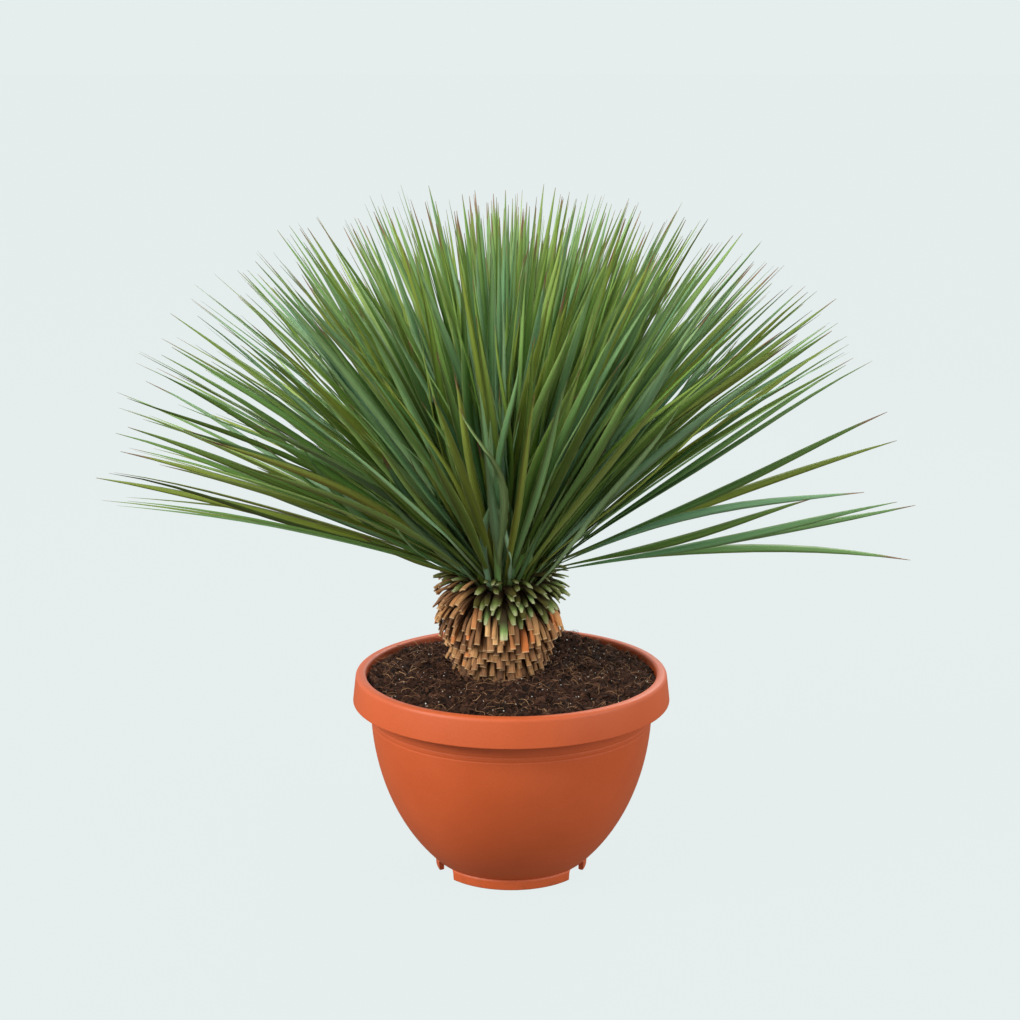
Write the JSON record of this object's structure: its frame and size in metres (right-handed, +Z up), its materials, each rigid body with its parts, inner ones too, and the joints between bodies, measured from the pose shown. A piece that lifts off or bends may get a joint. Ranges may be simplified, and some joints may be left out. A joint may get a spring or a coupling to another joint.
{
  "type": "potted yucca",
  "caption": "House plant: a round head of long narrow stiff leaves on a short stout trunk of cut leaf bases, growing in soil in a terracotta-coloured bowl pot.",
  "frame": {"origin": "on the surface the pot stands on, on the pot's axis, which is the middle of the part's box", "axes": "+Z up, +X to the right and longest, -Y to the front, the side the picture shows"},
  "size_m": [0.8899, 0.7674, 0.7522],
  "materials": {
    "terracotta_plastic": "satin",
    "soil": "matte",
    "dead_leaf_bases": "matte",
    "green_leaf_bases": "satin",
    "leaves": "satin"
  },
  "bodies": {
    "root": {"pot": "terracotta_plastic", "soil": "soil", "trunk": "dead_leaf_bases", "green_collar": "green_leaf_bases", "leaf_head": "leaves"}
  },
  "joints": []
}
